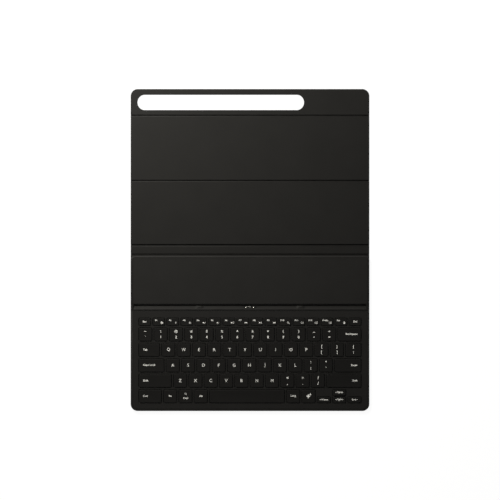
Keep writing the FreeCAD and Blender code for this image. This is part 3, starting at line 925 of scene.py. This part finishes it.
def small_keyboard():
    """On-screen keyboard sign."""
    dots = [disc(x, 0.3, 0.14, 8) for x in (-0.9, -0.3, 0.3, 0.9)]
    return join([outline_box(1.5, 0.85), line([(-0.8, -0.35), (0.8, -0.35)], STROKE)] + dots)


def padlock():
    """Lock sign."""
    body = flat_shape([rounded_rectangle(-0.9, 0.9, -1.1, 0.3, 0.2, 0.2, 3)])
    return join([body, line([(-0.55, 0.2)] + arc((0, 0.5), 0.55, 180, 0, 8) + [(0.55, 0.2)], 0.24)])


def camera():
    """Picture sign: a frame with a lens."""
    return join([outline_box(1.3, 0.85), ring(0, 0, 0.48, FRAME_STROKE, 14)])


def triangle(turn, size=0.8, x=0.0, y=0.0):
    """A filled arrowhead that points this many degrees from +X."""
    corners = [(math.cos(t), math.sin(t)) for t in np.radians([turn, turn + 125, turn - 125])]
    return flat_shape([[(x + size * c, y + size * s) for c, s in corners]])


def upright_bar(x0, x1):
    """A filled bar as tall as the arrowheads beside it."""
    return flat_shape([[(x0, -0.8), (x1, -0.8), (x1, 0.8), (x0, 0.8)]])


def play_bars():
    """Play and pause sign."""
    return join([triangle(0, 1.0, -0.5), upright_bar(0.7, 1.0), upright_bar(1.3, 1.6)])


def skip(turn):
    """Previous or next sign: two arrowheads and a bar, pointing left for 180 and right for 0."""
    s = 1 if turn == 0 else -1
    return join([triangle(turn, 0.9, -0.5 * s), triangle(turn, 0.9, 0.5 * s), upright_bar(s * 1.1, s * 1.4)])


def star(x, y, size, points=4, pinch=0.3):
    """A star with curved-in sides."""
    outline = []
    for k in range(points):
        a = math.pi / 2 + 2 * math.pi * k / points
        b = a + math.pi / points
        outline.append((x + size * math.cos(a), y + size * math.sin(a)))
        outline.append((x + size * pinch * math.cos(b), y + size * pinch * math.sin(b)))
    return flat_shape([outline])


def sparkle():
    """Assistant sign: a large and a small star."""
    return join([star(-0.4, -0.3, 2.9, pinch=DIAMOND_PINCH), star(2.1, 1.9, 1.5, pinch=DIAMOND_PINCH)])


def pages():
    """Split-screen sign."""
    return join([outline_box(1.2, 0.9), line([(0, -0.8), (0, 0.8)], FRAME_STROKE)])


FUNCTION_ICONS = [None, gear(), sun(0.85, 8), sun(1.15, 8), speaker(0), speaker(1), speaker(3), skip(180),
                  play_bars(), skip(0), magnifier(), pages(), small_keyboard(), camera(), padlock(), None]
FUNCTION_LABELS = ["Esc"] + [f"F{number}" for number in range(1, 13)] + ["PrtSc", "Ins", "Del"]

LETTER = {"size": 5.3 * MM, "stretch": 1.0, "bold": 0.02 * MM}
GLYPH = {"size": 4.5 * MM, "stretch": 1.0, "bold": 0.06 * MM}
WORD = {"size": 3.15 * MM, "stretch": 1.04, "bold": 0.075 * MM}
SHORT_WORD = {"size": 2.9 * MM, "stretch": 1.08, "bold": 0.07 * MM}
ARROW_WORD = {"size": 2.5 * MM, "stretch": 1.25, "bold": 0.07 * MM}
FUNCTION_LABEL = {"size": 2.4 * MM, "stretch": 1.25, "bold": 0.08 * MM}
FULL_LETTERS = "mwnq"
FULL_LETTER_STRETCH = 0.9
FINE_GROWTH = 1.1
FINE_BOLD = 0.12 * MM
DENSE_GROWTH = 0.92
DENSE_BOLD = 0.02 * MM
ICON_SCALE = 1.22
LEGEND_LIFT = 0.45 * MM
PAIR_SHIFT = 3.4 * MM
COMMAND_SHIFT = 2.6 * MM
WORD_FROM_LEFT = 5.3 * MM
WORD_FROM_RIGHT = 4.6 * MM
LABEL_LIFT = 1.5 * MM
LABEL_SHIFT = 3.3 * MM
LABEL_REACH = 5.4 * MM
LABEL_MARGIN = 1.6 * MM
ICON_SHIFT = (3.7 * MM, -1.35 * MM)
ARROW_GAP = 1.9 * MM

NUMBER_PAIRS = ["~`", "!1", "@2", "#3", "$4", "%5", "^6", "&7", "*8", "(9", ")0", "_-", "+="]
PUNCTUATION_PAIRS = ["{[", "}]", "|\\", ":;", "\"'", "<,", ">.", "?/"]
FINE_GLYPHS = "^*_-;:,\"'?/<|{"
DENSE_GLYPHS = "@#$%&"
GLYPH_LIFT = {"_": -1.2, "\"": 0.9, "'": 0.9, ",": -1.5, ".": -1.3, ";": -0.5, "`": 0.9, "*": 0.3, "^": 0.5}
COMMANDS = ["Backspace", "Tab", "Caps Lock", "Enter", "Shift", "Shift", "up", "Ctrl", "Fn", "Cmd", "Alt",
            "Lang", "sparkle", "left", "down", "right"]
ARROWS = {"left": (180, "Home"), "right": (0, "End"), "up": (90, "PgUp"), "down": (270, "PgDn")}


def lay(mesh, low, high, x, y):
    """A legend's mesh moved to a place on one cap and laid on its dished top."""
    verts = []
    for vx, vy, vz in mesh[0]:
        px, py = x + vx, y + vy + LEGEND_LIFT
        verts.append((px, py, cap_height(low, high, px, py) + vz + PRINT_T / 2 - PRINT_SINK))
    return verts, mesh[1]


def width_of(mesh):
    """Width of a legend's mesh."""
    xs = [v[0] for v in mesh[0]]
    return max(xs) - min(xs)


def word_legend(low, high, text, side):
    """A word on a wide key: near its left edge, its right edge, or centred."""
    mesh = lettering(text, **WORD)
    middle = (low + high) / 2
    x = middle.x
    if side == "left":
        x = low.x + WORD_FROM_LEFT + width_of(mesh) / 2
    if side == "right":
        x = high.x - WORD_FROM_RIGHT - width_of(mesh) / 2
    return [lay(mesh, low, high, x, middle.y)]


def pair_legend(low, high, pair):
    """A shifted glyph over a plain one, the small marks fuller than the digits."""
    middle = (low + high) / 2
    parts = []
    for glyph, shift in zip(pair, (PAIR_SHIFT, -PAIR_SHIFT)):
        lift = GLYPH_LIFT.get(glyph, 0) * MM
        style = dict(GLYPH)
        if glyph in FINE_GLYPHS:
            style["bold"] = FINE_BOLD
            style["size"] *= FINE_GROWTH
        if glyph in DENSE_GLYPHS:
            style["bold"] = DENSE_BOLD
            style["size"] *= DENSE_GROWTH
        parts.append(lay(lettering(glyph, **style), low, high, middle.x, middle.y + shift + lift))
    return parts


def function_legend(low, high, index):
    """A label at the upper left and an icon at the lower right, or one word on the outer keys."""
    middle = (low + high) / 2
    label = FUNCTION_LABELS[index]
    if FUNCTION_ICONS[index] is None:
        return [lay(lettering(label, **SHORT_WORD), low, high, middle.x, middle.y)]
    text = lettering(label, **FUNCTION_LABEL)
    x = middle.x - max(LABEL_SHIFT, width_of(text) / 2 - LABEL_REACH)
    x = max(x, low.x + LABEL_MARGIN + width_of(text) / 2)
    verts, faces = FUNCTION_ICONS[index]
    icon = ([(v[0] * ICON_SCALE, v[1] * ICON_SCALE, v[2]) for v in verts], faces)
    return [lay(text, low, high, x, middle.y + LABEL_LIFT),
            lay(icon, low, high, middle.x + ICON_SHIFT[0], middle.y + ICON_SHIFT[1])]


def arrow_legend(low, high, name):
    """Arrowhead and word on a half-height key."""
    middle = (low + high) / 2
    turn, word = ARROWS[name]
    side = 1 if name == "right" else -1
    text = lettering(word, **ARROW_WORD)
    head = triangle(turn, 0.95)
    reach = width_of(text) / 2
    text_x = middle.x - side * ARROW_GAP / 2
    head_x = text_x + (reach + ARROW_GAP * 0.75) * side
    return [lay(text, low, high, text_x, middle.y), lay(head, low, high, head_x, middle.y)]


def command_legend(low, high, name):
    """The legend of one of the command keys, by its name in COMMANDS."""
    middle = (low + high) / 2
    if name in ARROWS:
        return arrow_legend(low, high, name)
    if name == "sparkle":
        return [lay(sparkle(), low, high, middle.x, middle.y)]
    if name == "Cmd":
        return [lay(magnifier(1.15), low, high, middle.x, middle.y + COMMAND_SHIFT),
                lay(lettering("Cmd", **SHORT_WORD), low, high, middle.x, middle.y - COMMAND_SHIFT)]
    if name in ("Backspace", "Enter") or (name == "Shift" and middle.x > 0):
        return word_legend(low, high, name, "right")
    if name in ("Tab", "Caps Lock", "Shift", "Ctrl"):
        return word_legend(low, high, name, "left")
    return word_legend(low, high, name, "middle")


def legends_for(node, boxes):
    """Laid legends of all the caps of one key node; the space bar has none."""
    if node.startswith("key_"):
        low, high = boxes[0]
        middle = (low + high) / 2
        style = dict(LETTER)
        if node[-1] in FULL_LETTERS:
            style["bold"] = 0
            style["stretch"] = FULL_LETTER_STRETCH
        return [lay(lettering(node[-1].upper(), **style), low, high, middle.x, middle.y)]
    if node == "space_bar":
        return []
    makers = {
        "function_keys": lambda b, i: function_legend(*b, i),
        "number_keys": lambda b, i: pair_legend(*b, NUMBER_PAIRS[i]),
        "punctuation_keys": lambda b, i: pair_legend(*b, PUNCTUATION_PAIRS[i]),
        "command_keys": lambda b, i: command_legend(*b, COMMANDS[i]),
    }
    return [part for i, b in enumerate(boxes) for part in makers[node](b, i)]


def build_keys():
    """Caps and legends of every key node; returns the boxes of all the caps."""
    every = []
    slots = {s["node"]: s["material_slot"] for s in frame["record"]["subparts"]}
    for node in sorted(n for n in slots if slots[n] == "keycap"):
        boxes = islands(node)
        every += boxes
        caps = piece(node + "_caps", join([keycap(*b) for b in boxes]), KEYCAP, 45)
        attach(caps, node)
        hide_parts(node)
        parts = legends_for(node, boxes)
        if parts:
            legend = piece(node + "_legend", join(parts), PRINT, 30)
            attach(legend, node)
    return every


# ---------------------------------------------------------------- studio
KEY_TURN = math.radians(124)
KEY_RISE = math.radians(43)
KEY_DISTANCE = 0.75
KEY_SIZE = 0.2
KEY_POWER = 7.55
KEY_COLOUR = (1, 0.967, 0.875)
SKY_LOW = 0.06
SKY_HIGH = 0.5
SKY_OVERHEAD = 0.08
FLOOR_HALF = 12.0
VIEW_WIDTH = 0.6066
LENS = 300
SENSOR = 36


def build_sky():
    """A dim dome with a white horizon: level views end in white, and little light comes from overhead."""
    world = bpy.data.worlds.new("studio")
    bpy.context.scene.world = world
    world.use_nodes = True
    tree = world.node_tree
    place = tree.nodes.new("ShaderNodeTexCoord")
    split = tree.nodes.new("ShaderNodeSeparateXYZ")
    fade = tree.nodes.new("ShaderNodeMapRange")
    fade.interpolation_type = "SMOOTHSTEP"
    fade.inputs["From Min"].default_value = SKY_LOW
    fade.inputs["From Max"].default_value = SKY_HIGH
    fade.inputs["To Min"].default_value = 1.0
    fade.inputs["To Max"].default_value = SKY_OVERHEAD
    tree.links.new(place.outputs["Generated"], split.inputs["Vector"])
    tree.links.new(split.outputs["Z"], fade.inputs["Value"])
    tree.links.new(fade.outputs["Result"], tree.nodes["Background"].inputs["Strength"])
    tree.nodes["Background"].inputs["Color"].default_value = (1, 1, 1, 1)


def build_floor():
    """A wide plane under the case."""
    half = FLOOR_HALF
    corners = [(-half, -half, 0), (half, -half, 0), (half, half, 0), (-half, half, 0)]
    piece("floor", (corners, [(0, 1, 2, 3)]), studio_floor())


def build_light():
    """One square lamp above the flap's side, aimed at the middle of the case."""
    data = bpy.data.lights.new("key_light", "AREA")
    data.shape = "SQUARE"
    data.size = KEY_SIZE
    data.energy = KEY_POWER
    data.color = KEY_COLOUR
    lamp = bpy.data.objects.new("key_light", data)
    level = KEY_DISTANCE * math.cos(KEY_RISE)
    height = KEY_DISTANCE * math.sin(KEY_RISE)
    lamp.location = (level * math.cos(KEY_TURN), level * math.sin(KEY_TURN), height)
    lamp.rotation_euler = (-lamp.location).to_track_quat("-Z", "Y").to_euler()
    lamp.visible_camera = False
    bpy.context.scene.collection.objects.link(lamp)


def build_camera():
    """Straight above the middle of the open case, as far off as a long lens needs."""
    data = bpy.data.cameras.new("camera")
    data.lens = LENS
    data.sensor_width = SENSOR
    data.clip_end = 100
    camera = bpy.data.objects.new("camera", data)
    camera.location = (0, 0, VIEW_WIDTH * LENS / SENSOR)
    bpy.context.scene.collection.objects.link(camera)
    bpy.context.scene.camera = camera


dress_kept_parts()
build_cover()
cap_boxes = build_keys()
build_casing(cap_boxes)
build_ledge()
build_pin_shroud()
build_sky()
build_floor()
build_light()
build_camera()
bpy.context.scene.view_settings.view_transform = "Standard"
